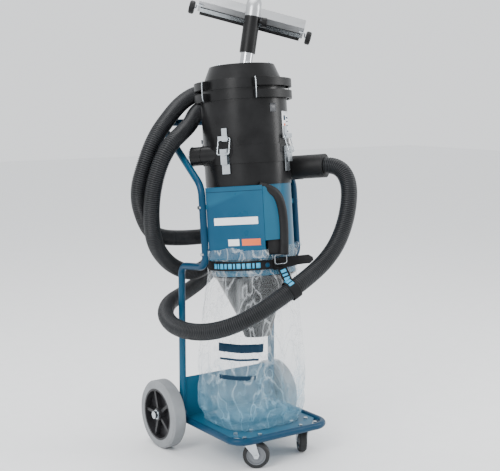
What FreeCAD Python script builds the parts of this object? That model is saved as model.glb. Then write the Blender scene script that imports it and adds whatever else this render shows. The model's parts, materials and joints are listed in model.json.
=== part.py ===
"""Dust collector: a two-wheeled trolley carries a leaning cyclone and filter tower, a bag below it,
a suction hose and a parked suction pipe with its floor nozzle.

Millimetres. Floor at z = 0, the castors in front at -Y, the big wheels behind at +Y, left is -X.
"""
import FreeCAD, Part
import math
import os
import Sketcher

from FreeCAD import Placement, Rotation, Vector

os.makedirs("parts", exist_ok=True)
doc = FreeCAD.newDocument("DustCollector")

# ---------------------------------------------------------------- driving dimensions
SIZES = {
    # trolley frame
    "FrameTubeRadius": 10, "FrameTubeWall": 2, "FrameHalfWidth": 159,
    "LoopHeight": 90, "LoopFrontY": -178, "LoopCorner": 45,
    "LowerTubeY": 107, "JogHeight": 557, "UpperTubeY": -25, "HandleBendHeight": 780,
    "HandleBarY": 220, "HandleSlope": 0.762, "TubeSplitHeight": 175, "TubeBend": 32,
    "PlateThick": 2, "PlateHeight": 92, "RearPlateTop": 212,
    # rear wheels
    "WheelRadius": 100, "WheelWidth": 42, "WheelOuterX": 222, "AxleY": 150,
    "AxleRadius": 8, "HubRadius": 76, "HubBoreRadius": 8.05,
    # castors
    "CastorRadius": 37.5, "CastorWidth": 22, "CastorX": 97, "CastorY": -138, "CastorTrail": 24,
    "CastorHubRadius": 27, "CastorBoreRadius": 4.05,
    # tower of cyclone and filter
    "TowerLean": 6, "CycloneRadius": 120, "CycloneWall": 2, "CycloneTop": 220, "CycloneBottom": -30,
    "InletTop": 281, "PortTop": 330, "HousingTop": 480, "HousingRadius": 122, "PortRadius": 125,
    "ShellWall": 3, "LidBase": 487, "LidBandTop": 515, "LidTop": 556, "LidRadius": 120,
    "LidShoulder": 110, "LidCrown": 92.5,
    "ConeTopRadius": 106, "ConeMouthRadius": 56, "ConeMouth": -150, "ValveMouth": -212,
    "InletOffset": 95, "SparePortOffset": 92, "InletHeight": 262, "PortHeight": 306, "PortAngle": 30.7,
    "InletStubRadius": 25, "SparePortRadius": 26.5,
    "GripInner": 130, "GripOuter": 138, "GripHeight": 22,
    # suction pipe, hose and nozzle
    "PipeRadius": 19, "PipeWall": 1.5, "HoseRadius": 23.5, "CuffRadius": 34,
    "NozzleLength": 330, "NozzleDepth": 66, "NozzleHeight": 34, "NozzleWheelRadius": 20,
    # bag
    "BagWall": 3, "BagHalfWidth": 150, "BagFront": 150, "BagBack": 100,
}
sheet = doc.addObject("Spreadsheet::Sheet", "Sizes")
for row, (alias, number) in enumerate(SIZES.items(), start=1):
    sheet.set(f"A{row}", alias)
    sheet.set(f"B{row}", str(number))
    sheet.setAlias(f"B{row}", alias)
doc.recompute()


def size(alias):
    """The number in the cell of that alias."""
    return float(sheet.get(alias))


HEAD_TURN = -54.0  # the head and its front panel face this way, in degrees from the front
BRACKET_HEIGHTS = (36, 166)  # where the tower is bolted to its two tubes, along its axis

# ---------------------------------------------------------------- frames of reference
LEAN = Rotation(Vector(1, 0, 0), -size("TowerLean"))
# the sub-parts are exported about the middle of the footprint
MIDDLE = Vector(49.62, 88.19, 0)
TOWER = Placement(Vector(0, size("UpperTubeY"), size("JogHeight")), LEAN)
UNTURNED = Placement()


def around(azimuth, radius=0.0, height=0.0):
    """A placement on the tower: +Y outward at azimuth degrees from the front, +Z up its axis."""
    turn = Rotation(Vector(0, 0, 1), azimuth + 180)
    return TOWER * Placement(turn.multVec(Vector(0, radius, height)), turn)


def tower_point(x, y, along):
    return TOWER.multVec(Vector(x, y, along))


# ---------------------------------------------------------------- makers of document objects
def bind(made, **bound):
    for name, expression in bound.items():
        made.setExpression(name, str(expression).replace("$", "Sizes."))
    return made


def place(made, placement):
    made.Placement = placement
    return made


def label(made, node):
    made.Label = node
    return made


def box(name, length, width, height, placement=UNTURNED):
    """A box of bound sides, centred on its placement in X and Y and standing on it."""
    made = bind(doc.addObject("Part::Box", name), Length=length, Width=width, Height=height)
    doc.recompute()
    shift = Vector(-made.Length.Value / 2, -made.Width.Value / 2, 0)
    return place(made, placement * Placement(shift, Rotation()))


def cylinder(name, radius, height, placement=UNTURNED):
    made = bind(doc.addObject("Part::Cylinder", name), Radius=radius, Height=height)
    return place(made, placement)


def cut(name, base, tool):
    made = doc.addObject("Part::Cut", name)
    made.Base, made.Tool = base, tool
    return made


def fuse(name, *shapes):
    made = doc.addObject("Part::MultiFuse", name)
    made.Shapes = list(shapes)
    return made


def feature(name, shape, placement=None):
    made = doc.addObject("Part::Feature", name)
    made.Shape = shape
    if placement is not None:
        made.Placement = placement
    return made


def outline(body, role, corners, name):
    """A closed sketch on an origin plane of the body; each corner is a pair of bound expressions."""
    sketch = body.newObject("Sketcher::SketchObject", name)
    plane = next(f for f in body.Origin.OriginFeatures if f.Role == role)
    sketch.AttachmentSupport = (plane, "")
    sketch.MapMode = "FlatFace"
    count = len(corners)
    spots = [Vector(float(value(x)), float(value(y)), 0) for x, y in corners]
    for i in range(count):
        sketch.addGeometry(Part.LineSegment(spots[i], spots[(i + 1) % count]), False)
    for i in range(count):
        sketch.addConstraint(Sketcher.Constraint("Coincident", i, 2, (i + 1) % count, 1))
    for i, (x, y) in enumerate(corners):
        for kind, expression, spot in (("DistanceX", x, spots[i].x), ("DistanceY", y, spots[i].y)):
            index = sketch.addConstraint(Sketcher.Constraint(kind, -1, 1, i, 1, spot))
            sketch.setExpression(f"Constraints[{index}]", str(expression).replace("$", "Sizes."))
    return sketch


def value(expression):
    """What an expression of cells comes to, for a sketch's first guess."""
    text = str(expression)
    for alias in sorted(SIZES, key=len, reverse=True):
        text = text.replace("$" + alias, f"({size(alias)})")
    return sheet.evalExpression(text)


def turned(name, profile, placement=UNTURNED):
    """A body turned about Z from a profile of (radius, height) pairs."""
    body = doc.addObject("PartDesign::Body", name)
    sketch = outline(body, "XZ_Plane", profile, name + "Profile")
    spin = body.newObject("PartDesign::Revolution", name + "Turn")
    spin.Profile = sketch
    spin.ReferenceAxis = (sketch, ["V_Axis"])
    spin.Angle = 360
    doc.recompute()
    return place(body, placement)


def padded(name, corners, thickness, placement=UNTURNED):
    """A sheet or block: the outline in XY, raised along Z."""
    body = doc.addObject("PartDesign::Body", name)
    sketch = outline(body, "XY_Plane", corners, name + "Outline")
    pad = body.newObject("PartDesign::Pad", name + "Pad")
    pad.Profile = sketch
    pad.setExpression("Length", str(thickness).replace("$", "Sizes."))
    doc.recompute()
    return place(body, placement)


def rounded_path(points, radii):
    """Straight runs joined by tangent arcs: a wire, its first direction and its length."""
    edges, start, long = [], points[0], 0.0
    for i in range(1, len(points) - 1):
        back, ahead = (points[i - 1] - points[i]), (points[i + 1] - points[i])
        back.normalize()
        ahead.normalize()
        half_turn = (math.pi - back.getAngle(ahead)) / 2
        reach = radii[i - 1] * math.tan(half_turn)
        a, b = points[i] + back * reach, points[i] + ahead * reach
        inward = back + ahead
        inward.normalize()
        middle = points[i] + inward * (radii[i - 1] / math.cos(half_turn) - radii[i - 1])
        edges.append(Part.LineSegment(start, a).toShape())
        edges.append(Part.Arc(a, middle, b).toShape())
        start = b
    edges.append(Part.LineSegment(start, points[-1]).toShape())
    long = sum(edge.Length for edge in edges)
    first = points[1] - points[0]
    first.normalize()
    return Part.Wire(edges), first, long


def swept(points, radii, radius, wall=0.0):
    """A round bar, or a tube with that wall, along rounded_path."""
    wire, first, long = rounded_path(points, radii)

    def bar(r):
        ring = Part.Wire([Part.makeCircle(r, points[0], first)])
        return wire.makePipeShell([ring], True, False)

    solid = bar(radius) if wall == 0 else bar(radius).cut(bar(radius - wall))
    section = math.pi * (radius ** 2 - (radius - wall) ** 2 if wall else radius ** 2)
    if abs(solid.Volume / (section * long) - 1) > 0.01:
        raise RuntimeError(f"sweep volume {solid.Volume:.0f} against {section * long:.0f}")
    return solid


NODES = {}


def node(name, made):
    """Registers a finished sub-part under the name of its file."""
    NODES[name] = label(made, name)
    return made


# ---------------------------------------------------------------- trolley frame
def mirrored_x(shape):
    return shape.mirror(Vector(0, 0, 0), Vector(1, 0, 0))


def frame_tubes():
    radius, wall = size("FrameTubeRadius"), size("FrameTubeWall")
    side, bend = size("FrameHalfWidth"), size("TubeBend")
    lean = math.tan(math.radians(size("TowerLean")))
    jog_z, jog_y, low_y = size("JogHeight"), size("UpperTubeY"), size("LowerTubeY")
    bend_z = size("HandleBendHeight")
    bend_y = jog_y + (bend_z - jog_z) * lean
    bar_y = size("HandleBarY")
    bar_z = bend_z + (bar_y - bend_y) * size("HandleSlope")
    split_y = bar_y - 60
    split_z = bend_z + (split_y - bend_y) * size("HandleSlope")
    split_low = size("TubeSplitHeight")
    side_points = [
        Vector(-side, split_y, split_z), Vector(-side, bend_y, bend_z), Vector(-side, jog_y, jog_z),
        Vector(-side, low_y, jog_z - (low_y - jog_y) * lean), Vector(-side, low_y, split_low),
    ]
    left = swept(side_points, [60, bend, 28], radius, wall)
    node("frame_tube_left", feature("FrameTubeLeft", left))
    node("frame_tube_right", feature("FrameTubeRight", mirrored_x(left)))
    handle_points = [
        Vector(-side, split_y, split_z), Vector(-side, bar_y, bar_z),
        Vector(side, bar_y, bar_z), Vector(side, split_y, split_z),
    ]
    node("handle_bar", feature("HandleBar", swept(handle_points, [40, 40], radius, wall)))
    loop_z, front_y, corner = size("LoopHeight"), size("LoopFrontY"), size("LoopCorner")
    loop_points = [
        Vector(-side, low_y, split_low), Vector(-side, low_y, loop_z), Vector(-side, front_y, loop_z),
        Vector(side, front_y, loop_z), Vector(side, low_y, loop_z), Vector(side, low_y, split_low),
    ]
    loop = swept(loop_points, [bend, corner, corner, bend], radius, wall)
    node("base_loop", feature("BaseLoop", loop))
    return bar_z


def base_plates():
    # the floor sheet lies inside the loop, its front corners cut off, with two lightening slots
    edge = "($FrameHalfWidth - $FrameTubeRadius + 3)"
    front = "($LoopFrontY + $FrameTubeRadius - 3)"
    back = "($LowerTubeY - $FrameTubeRadius)"
    corners = [
        (f"-{edge}", back), (f"-{edge}", f"{front} + 52"), (f"-{edge} + 52", front),
        (f"{edge} - 52", front), (edge, f"{front} + 52"), (edge, back),
    ]
    floor = padded("FloorSheet", corners, "$PlateThick", Placement(Vector(0, 0, size("PlateHeight")), Rotation()))
    node("base_plate", floor)
    # the back sheet stands between the two lower tubes; its cheeks reach back to the axle
    inner = size("FrameHalfWidth") - size("FrameTubeRadius") + 3
    top, thick = size("RearPlateTop"), size("PlateThick")
    low, tube_y, axle_y = size("PlateHeight") + thick, size("LowerTubeY"), size("AxleY")
    wall = Part.makeBox(2 * inner, thick, top - low, Vector(-inner, tube_y - 2, low))
    cheeks = []
    for x in (-inner, inner - 4):
        outline_points = [
            Vector(x, tube_y, top - 12), Vector(x, tube_y, low - 14), Vector(x, axle_y, 100 - 20),
            Vector(x, axle_y + 20, 100), Vector(x, axle_y + 14, 118),
        ]
        face = Part.Face(Part.makePolygon(outline_points + outline_points[:1]))
        cheeks.append(face.extrude(Vector(4, 0, 0)))
    fold = Part.makeBox(2 * inner - 8, 8, thick, Vector(4 - inner, tube_y - 10 + 0.2, low - thick))
    solid = wall.fuse(cheeks + [fold])
    hole = Part.makeCylinder(size("AxleRadius") + 0.02, 800, Vector(-400, axle_y, 100), Vector(1, 0, 0))
    node("rear_plate", feature("RearPlate", solid.cut(hole).removeSplitter()))


def cap_screws():
    """The cap screws of the panel and saddles, of the castor plates and of the lid."""
    side, reach = size("FrameHalfWidth"), size("FrameTubeRadius")
    heads = []
    for sign in (-1, 1):
        for along in BRACKET_HEIGHTS:
            spot = tower_point(sign * (side + reach - 1), 0, along)
            heads.append(Part.makeCylinder(5, 5, spot, Vector(sign, 0, 0)))
    top = size("PlateHeight") + size("PlateThick")
    for sign in (-1, 1):
        for dx in (-26, 26):
            for dy in (-22, 22):
                spot = Vector(sign * size("CastorX") + dx, size("CastorY") + dy, top)
                heads.append(Part.makeCylinder(5.5, 4.5, spot))
    for k in range(6):
        spot = around(HEAD_TURN + 60 * k + 30, size("LidCrown") - 8, size("LidTop"))
        screw = Part.makeCylinder(4, 5)
        screw.Placement = spot
        heads.append(screw)
    node("cap_screws", feature("CapScrews", Part.makeCompound(heads)))


# ---------------------------------------------------------------- rear wheels
def rear_wheels():
    ends = Rotation(Vector(0, 1, 0), 90)
    half = "($WheelOuterX + 6)"
    axle_place = Placement(Vector(-size("WheelOuterX") - 6, size("AxleY"), 100), ends)
    node("axle", cylinder("Axle", "$AxleRadius", f"2 * {half}", axle_place))
    nuts = []
    for sign in (-1, 1):
        start = Vector(sign * (size("WheelOuterX") + 1), size("AxleY"), 100)
        nuts.append(Part.makeCylinder(14, 1.5, start, Vector(sign, 0, 0)).cut(
            Part.makeCylinder(8.0, 1.5, start, Vector(sign, 0, 0))))
        nut = Part.makeCylinder(11, 9, start + Vector(sign * 1.5, 0, 0), Vector(sign, 0, 0))
        nuts.append(nut.cut(Part.makeCylinder(8.0, 5, start + Vector(sign * 1.5, 0, 0), Vector(sign, 0, 0))))
    node("axle_nuts", feature("AxleNuts", Part.makeCompound(nuts)))
    for side, sign in (("left", -1), ("right", 1)):
        outward = Rotation(Vector(0, 1, 0), 90 * sign)
        centre = Vector(sign * (size("WheelOuterX") - size("WheelWidth") / 2), size("AxleY"), 100)
        spot = Placement(centre, outward)
        half = "($WheelWidth / 2)"
        tyre_profile = [
            ("$HubRadius", f"-{half}"), ("$WheelRadius - 5", f"-{half}"), ("$WheelRadius", f"-{half} + 5"),
            ("$WheelRadius", f"{half} - 5"), ("$WheelRadius - 5", half), ("$HubRadius", half),
        ]
        node(f"wheel_tyre_{side}", turned(f"Tyre{side.title()}", tyre_profile, spot))
        node(f"wheel_hub_{side}", feature(f"Hub{side.title()}", hub_shape(), spot))


def hub_shape():
    """A moulded hub: rim ring, dished web with five spokes outside, and a long boss."""
    rim_r, bore = size("HubRadius"), size("HubBoreRadius")
    half = size("WheelWidth") / 2
    rim = Part.makeCylinder(rim_r, 2 * half, Vector(0, 0, -half)).cut(
        Part.makeCylinder(rim_r - 6, 2 * half, Vector(0, 0, -half)))
    web = Part.makeCylinder(rim_r - 5, 5, Vector(0, 0, -4))
    boss = Part.makeCylinder(18, 2 * half, Vector(0, 0, -half))
    solid = rim.fuse([web, boss])
    for i in range(5):
        spoke = Part.makeBox(rim_r - 20, 9, 16, Vector(15, -4.5, 0))
        spoke.rotate(Vector(0, 0, 0), Vector(0, 0, 1), 72 * i + 18)
        solid = solid.fuse(spoke)
    return solid.cut(Part.makeCylinder(bore, 2 * half + 2, Vector(0, 0, -half - 1))).removeSplitter()


# ---------------------------------------------------------------- castors
CASTOR_TURN = {"left": 232.0, "right": -28.0}


def castor(side, sign):
    """One swivel castor in its own frame: swivel axis on Z, wheel axle along X, trailing to +Y."""
    turn = Rotation(Vector(0, 0, 1), CASTOR_TURN[side])
    spot = Placement(Vector(sign * size("CastorX"), size("CastorY"), 0), turn)
    radius, width, trail = size("CastorRadius"), size("CastorWidth"), size("CastorTrail")
    gap = 1.5
    top = size("PlateHeight") - 4
    # fork: a crown under the race, and two tapering legs joined by the riveted axle
    crown = Part.makeCylinder(21, 3, Vector(0, 0, top - 9))
    legs = []
    for x in (-width / 2 - gap - 2.5, width / 2 + gap):
        leg_points = [
            Vector(x, -20, top - 6), Vector(x, 20, top - 6), Vector(x, trail + 9, radius + 2),
            Vector(x, trail + 5, radius - 8), Vector(x, trail - 5, radius - 8), Vector(x, trail - 9, radius + 2),
        ]
        face = Part.Face(Part.makePolygon(leg_points + leg_points[:1]))
        legs.append(face.extrude(Vector(2.5, 0, 0)))
    bridge = Part.makeBox(width + 2 * gap + 5, 36, 3, Vector(-width / 2 - gap - 2.5, -18, top - 9))
    axle = Part.makeCylinder(4, width + 2 * gap + 9, Vector(-width / 2 - gap - 4.5, trail, radius), Vector(1, 0, 0))
    race = Part.makeCylinder(17, 5.7, Vector(0, 0, top - 6))
    fork = crown.fuse(legs + [bridge, axle, race]).removeSplitter()
    node(f"castor_fork_{side}", feature(f"CastorFork{side.title()}", fork, spot))
    wheel_spot = spot * Placement(Vector(0, trail, radius), Rotation(Vector(0, 1, 0), 90))
    half = "($CastorWidth / 2)"
    tread = [
        ("$CastorHubRadius", f"-{half}"), ("$CastorRadius - 3", f"-{half}"), ("$CastorRadius", f"-{half} + 4"),
        ("$CastorRadius", f"{half} - 4"), ("$CastorRadius - 3", half), ("$CastorHubRadius", half),
    ]
    node(f"castor_tread_{side}", turned(f"CastorTread{side.title()}", tread, wheel_spot))
    hub = [
        ("$CastorBoreRadius", f"-{half}"), ("10", f"-{half}"), ("12", f"-{half} + 5"),
        ("$CastorHubRadius - 3", f"-{half} + 5"), ("$CastorHubRadius - 2", f"-{half} + 0.5"),
        ("$CastorHubRadius", f"-{half} + 0.5"), ("$CastorHubRadius", f"{half} - 0.5"),
        ("$CastorHubRadius - 2", f"{half} - 0.5"), ("$CastorHubRadius - 3", f"{half} - 5"),
        ("12", f"{half} - 5"), ("10", half), ("$CastorBoreRadius", half),
    ]
    node(f"castor_hub_{side}", turned(f"CastorHub{side.title()}", hub, wheel_spot))


def castor_plates():
    plates = []
    for sign in (-1, 1):
        corner = Vector(sign * size("CastorX") - 34, size("CastorY") - 29, size("PlateHeight") - 4)
        plates.append(Part.makeBox(68, 58, 4, corner))
    node("castor_plates", feature("CastorPlates", Part.makeCompound(plates)))


# ---------------------------------------------------------------- cyclone and filter tower
def tower_shells():
    wall = "$ShellWall"
    node("cyclone_body", turned("CycloneBody", [
        ("$CycloneRadius - $CycloneWall", "$CycloneBottom"), ("$CycloneRadius", "$CycloneBottom"),
        ("$CycloneRadius", "$CycloneTop"), ("$CycloneRadius - $CycloneWall", "$CycloneTop"),
    ], TOWER))
    node("discharge_cone", turned("DischargeCone", [
        ("$ConeMouthRadius - $CycloneWall", "$ConeMouth"), ("$ConeMouthRadius", "$ConeMouth"),
        ("$ConeTopRadius", "$CycloneBottom - 14"), ("$CycloneRadius", "$CycloneBottom - 3"),
        ("$CycloneRadius", "$CycloneBottom"), ("$ConeTopRadius - 4", "$CycloneBottom"),
        ("$ConeTopRadius - 4", "$CycloneBottom - 14"),
    ], TOWER))
    node("discharge_valve", turned("DischargeValve", [
        ("34", "$ValveMouth"), ("37", "$ValveMouth"),
        ("$ConeMouthRadius", "$ConeMouth - 4"), ("$ConeMouthRadius", "$ConeMouth"),
        ("$ConeMouthRadius - 3", "$ConeMouth"), ("$ConeMouthRadius - 3", "$ConeMouth - 4"),
    ], TOWER))
    node("filter_housing", turned("FilterHousing", [
        ("$HousingRadius - $ShellWall", "$PortTop"), ("$HousingRadius", "$PortTop"),
        ("$HousingRadius", "$HousingTop - 23"), ("$HousingRadius + 2", "$HousingTop - 23"),
        ("$HousingRadius + 2", "$HousingTop"), ("$HousingRadius - 4", "$HousingTop"), ("$HousingRadius - 4", "$LidBase"),
        ("$HousingRadius - 8", "$LidBase"), ("$HousingRadius - 8", "$HousingTop - 26"),
        ("$HousingRadius - $ShellWall", "$HousingTop - 26"),
    ], TOWER))
    node("lid", turned("Lid", [
        ("$LidRadius - 9", "$LidBase"), ("$LidRadius", "$LidBase"), ("$LidRadius", "$LidBandTop"),
        ("$LidShoulder", "$LidBandTop"), ("$LidCrown", "$LidTop"), ("0", "$LidTop"),
        ("0", "$LidTop - 4"), ("$LidCrown - 3", "$LidTop - 4"), ("$LidShoulder - 5", "$LidBandTop - 3"),
        ("$LidRadius - 9", "$LidBandTop - 3"),
    ], TOWER))
    node("filter_cartridge", turned("FilterCartridge", [
        ("52", "$InletTop + 10"), ("88", "$InletTop + 10"), ("88", "$HousingTop - 60"),
        ("52", "$HousingTop - 60"),
    ], TOWER))
    node("motor", turned("Motor", [
        ("30", "$HousingTop - 60"), ("$HousingRadius - $ShellWall", "$HousingTop - 60"),
        ("$HousingRadius - $ShellWall", "$HousingTop - 56"), ("78", "$HousingTop - 56"),
        ("78", "$HousingTop - 22"), ("58", "$HousingTop - 18"), ("58", "$HousingTop + 50"), ("12.1", "$HousingTop + 50"),
        ("12.1", "$HousingTop - 18"), ("72", "$HousingTop - 24"), ("72", "$HousingTop - 56"),
        ("30", "$HousingTop - 56"),
    ], TOWER))
    node("fan_rotor", turned("FanRotor", [
        ("0", "$HousingTop - 52"), ("68", "$HousingTop - 52"), ("68", "$HousingTop - 48"),
        ("40", "$HousingTop - 30"), ("12", "$HousingTop - 28"), ("12", "$HousingTop + 46"),
        ("0", "$HousingTop + 46"),
    ], TOWER))


def tangential_stub(direction_sign, offset, height, start, end, outer, inner):
    """A port tube beside the tower: it leaves along the tangent at PortAngle from the front."""
    turn = math.radians(size("PortAngle"))
    ahead = Vector(math.sin(turn), -math.cos(turn), 0) * direction_sign
    aside = Vector(math.cos(turn), math.sin(turn), 0) * direction_sign * offset
    base = Vector(aside.x, aside.y, height) + ahead * start
    tube = Part.makeCylinder(outer, end - start, base, ahead)
    hole = Part.makeCylinder(inner, end - start + 60, base - ahead * 50, ahead)
    return tube, hole, base, ahead


def ring_shell(radius, low, high, wall):
    outer = Part.makeCylinder(radius, high - low, Vector(0, 0, low))
    return outer, Part.makeCylinder(radius - wall, high - low, Vector(0, 0, low))


def port_sections():
    """The inlet section and the section above it, each with its port on the tangent."""
    wall = size("ShellWall")
    stub_r = size("InletStubRadius")
    outer, inner = ring_shell(size("HousingRadius"), size("CycloneTop"), size("InletTop"), wall)
    tube, hole, _, _ = tangential_stub(1, size("InletOffset"), size("InletHeight") - 10, 20, 128, stub_r, stub_r - 3)
    shape = outer.fuse(tube).cut(inner).cut(hole).removeSplitter()
    node("inlet_section", feature("InletSection", shape, TOWER))
    spare = size("SparePortRadius")
    outer, inner = ring_shell(size("PortRadius"), size("InletTop"), size("PortTop"), wall)
    tube, hole, _, _ = tangential_stub(-1, size("SparePortOffset"), size("PortHeight") + 2.5, 4, 124,
                                    spare, spare - 3.5)
    shape = outer.fuse(tube).cut(inner).cut(hole).removeSplitter()
    node("port_section", feature("PortSection", shape, TOWER))


def arc_bar(inner, outer, low, high, first, last):
    """A bar bent round the tower axis between two azimuths, with a foot at each end."""
    sweep = last - first
    bar = Part.makeCylinder(outer, high - low, Vector(0, 0, low), Vector(0, 0, 1), sweep)
    bar = bar.cut(Part.makeCylinder(inner, high - low, Vector(0, 0, low)))
    bar.rotate(Vector(0, 0, 0), Vector(0, 0, 1), first - 90)
    for azimuth in (first + 3, last - 3):
        foot = Part.makeBox(10, outer - size("LidRadius") - 1.5, high - low,
                            Vector(-5, size("LidRadius") - 0.5, low))
        foot.rotate(Vector(0, 0, 0), Vector(0, 0, 1), azimuth + 180)
        bar = bar.fuse(foot)
    return bar.removeSplitter()


def head_details():
    inner, outer, tall = size("GripInner"), size("GripOuter"), size("GripHeight")
    spans = ((HEAD_TURN + 33, HEAD_TURN + 130), (HEAD_TURN - 130, HEAD_TURN - 33))
    bars = [arc_bar(inner, outer, low, low + tall, *span)
            for low in (size("LidBase") + 3, size("HousingTop") - 23) for span in spans]
    node("head_grips", feature("HeadGrips", Part.makeCompound(bars), TOWER))
    spot = around(180, size("HousingRadius") - 1, 372)
    block = box("PowerInletBlock", 52, 28, 52, spot * Placement(Vector(0, 14, -26), Rotation()))
    socket = cylinder("PowerInletSocket", 18, 21, spot * Placement(
        Vector(0, 8, 0), Rotation(Vector(1, 0, 0), -90)))
    node("power_inlet", cut("PowerInlet", block, socket))


LATCH_TURNS = (-62.0, 28.0, 118.0, 208.0)
LATCH_PIVOT = 316.0


def latches():
    """Four toggle latches draw the filter housing down onto the port section."""
    wall_r = size("PortRadius")
    mounts = []
    for k, azimuth in enumerate(LATCH_TURNS, start=1):
        spot = around(azimuth)
        plate = Part.makeBox(24, 3, 68, Vector(-12, wall_r - 0.5, 254))
        ears = [Part.makeBox(1.6, 10, 14, Vector(x, wall_r + 1, LATCH_PIVOT - 7)) for x in (-12, 10.4)]
        pin = Part.makeCylinder(1.5, 24, Vector(-12, wall_r + 7, LATCH_PIVOT), Vector(1, 0, 0))
        base = plate.fuse(ears + [pin]).removeSplitter()
        base.Placement = spot
        mounts.append(base)
        post = Part.makeBox(16, 5.5, 36, Vector(-8, size("HousingRadius") - 0.4, 343))
        lip = Part.makeBox(30, 12, 5, Vector(-15, size("HousingRadius") + 4, 345.5))
        hook = Part.makeBox(30, 2.5, 12, Vector(-15, size("HousingRadius") + 13.5, 345.5))
        strike = post.fuse([lip, hook]).removeSplitter()
        strike.Placement = spot
        mounts.append(strike)
        lever = Part.makeBox(19.6, 3, 42, Vector(-9.8, wall_r + 9.5, LATCH_PIVOT - 36))
        eye = Part.makeCylinder(4.5, 19.6, Vector(-9.8, wall_r + 7, LATCH_PIVOT), Vector(1, 0, 0))
        lever = lever.fuse(eye).cut(
            Part.makeCylinder(1.55, 30, Vector(-15, wall_r + 7, LATCH_PIVOT), Vector(1, 0, 0)))
        arm_hole = Part.makeCylinder(1.6, 30, Vector(-15, wall_r + 15.5, LATCH_PIVOT - 8), Vector(1, 0, 0))
        arm = Part.makeBox(14, 5, 9, Vector(-7, wall_r + 12, LATCH_PIVOT - 12.5))
        lever = lever.fuse(arm).cut(arm_hole).removeSplitter()
        node(f"latch_lever_{k}", feature(f"LatchLever{k}", lever, spot))
        # the wire bail hangs in the lever and passes over the hook
        pivot_z, pivot_y = LATCH_PIVOT - 8, wall_r + 15.5
        top_z, wire = 352.4, 1.5
        trough = size("HousingRadius") + 7.1
        wire_points = [
            Vector(-8.4, pivot_y, pivot_z), Vector(-18, pivot_y, pivot_z), Vector(-18, trough, top_z),
            Vector(18, trough, top_z), Vector(18, pivot_y, pivot_z), Vector(8.4, pivot_y, pivot_z),
        ]
        bail = swept(wire_points, [3, 4, 4, 3], wire)
        pin = Part.makeCylinder(1.5, 17, Vector(-8.5, pivot_y, pivot_z), Vector(1, 0, 0))
        node(f"latch_bail_{k}", feature(f"LatchBail{k}", bail.fuse(pin).removeSplitter(), spot))
    node("latch_mounts", feature("LatchMounts", Part.makeCompound(mounts)))


def front_panel():
    """The folded cover in front of the cyclone: a broad face, a narrow flange and two tube tabs."""
    face_width, flange_width, low, high, thick = 166, 50, 18, 219, 1.5
    distance = size("CycloneRadius") + 5
    middle = around(HEAD_TURN, distance, 0)
    face = Part.makeBox(face_width, thick, high - low, Vector(-face_width / 2, 0, low))
    face.Placement = middle
    # seen from outside, the flange is folded back from the face's edge nearer the front
    fold = middle * Placement(Vector(-face_width / 2, 0, 0), Rotation(Vector(0, 0, 1), 54))
    corners = [
        Vector(0, 0, low + 50), Vector(-flange_width, 0, low + 50), Vector(-flange_width, 0, high - 50),
        Vector(-8, 0, high - 4), Vector(0, 0, high - 4),
    ]
    flange = Part.Face(Part.makePolygon(corners + corners[:1])).extrude(Vector(0, thick, 0))
    flange.Placement = fold
    tabs = []
    for along in BRACKET_HEIGHTS:
        tab = Part.makeBox(22, 10, 14, Vector(-size("FrameHalfWidth") + 6, -12, along - 7))
        tab.Placement = TOWER
        tabs.append(tab)
    shape = face.fuse([flange] + tabs).removeSplitter()
    node("front_panel", feature("FrontPanel", shape))
    # two saddles carry the cyclone body on the other tube
    saddles = []
    for along in BRACKET_HEIGHTS:
        saddle = Part.makeBox(34, 14, 14, Vector(size("CycloneRadius") - 4, -7, along - 7))
        saddle = saddle.cut(Part.makeCylinder(size("CycloneRadius"), 40, Vector(0, 0, along - 20)))
        saddle = saddle.cut(Part.makeCylinder(
            size("FrameTubeRadius"), 60, Vector(size("FrameHalfWidth"), 0, along - 30)))
        saddle.Placement = TOWER
        saddles.append(saddle)
    left = saddles[0].mirror(Vector(0, 0, 0), Vector(1, 0, 0))
    node("cyclone_saddles", feature("CycloneSaddles", Part.makeCompound(saddles + [left])))


# ---------------------------------------------------------------- bag, belt and straps
def rounded_square(half_x, front, back, height, power, centre_y, shrink=0.0, lean=0.0):
    """A closed superellipse curve: power 2 is round, more is squarer."""
    count = 24
    half_y, shift = (front + back) / 2 - shrink, (back - front) / 2
    points = []
    for i in range(count):
        turn = 2 * math.pi * i / count
        c, s = math.cos(turn), math.sin(turn)
        x = (half_x - shrink) * math.copysign(abs(c) ** (2 / power), c)
        y = half_y * math.copysign(abs(s) ** (2 / power), s)
        points.append(Vector(x, centre_y + shift + y, height - math.tan(math.radians(lean)) * y))
    curve = Part.BSplineCurve()
    curve.interpolate(points, PeriodicFlag=True)
    return Part.Wire([curve.toShape()])


def bag():
    """The dust sack: round at the belt, squarer and wider over the floor sheet, closed below."""
    floor_z = size("PlateHeight") + size("PlateThick") + 0.2
    neck = size("CycloneRadius") + 1.0 + size("BagWall")
    wide, front, back = size("BagHalfWidth"), size("BagFront"), size("BagBack")
    wall = size("BagWall")

    def loft(shrink, bottom, top_extra):
        levels = [
            rounded_square(wide - 22, front - 18, back - 8, bottom, 3.0, 0, shrink),
            rounded_square(wide - 4, front - 4, back - 2, 190, 3.0, 0, shrink),
            rounded_square(wide, front, back, 270, 2.8, 0, shrink),
            rounded_square(wide - 14, front - 6, back + 4, 400, 2.4, 0, shrink),
            rounded_square(neck + 2, neck + 34, neck - 34, 505, 2.0, 0, shrink, size("TowerLean")),
            rounded_square(neck, neck + 26, neck - 26, 570 + top_extra, 2.0, 0, shrink, size("TowerLean")),
        ]
        return Part.makeLoft(levels, True, False)

    shape = loft(0, floor_z, 0).cut(loft(wall, floor_z + wall, 5))
    node("bag", feature("Bag", shape))


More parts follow.
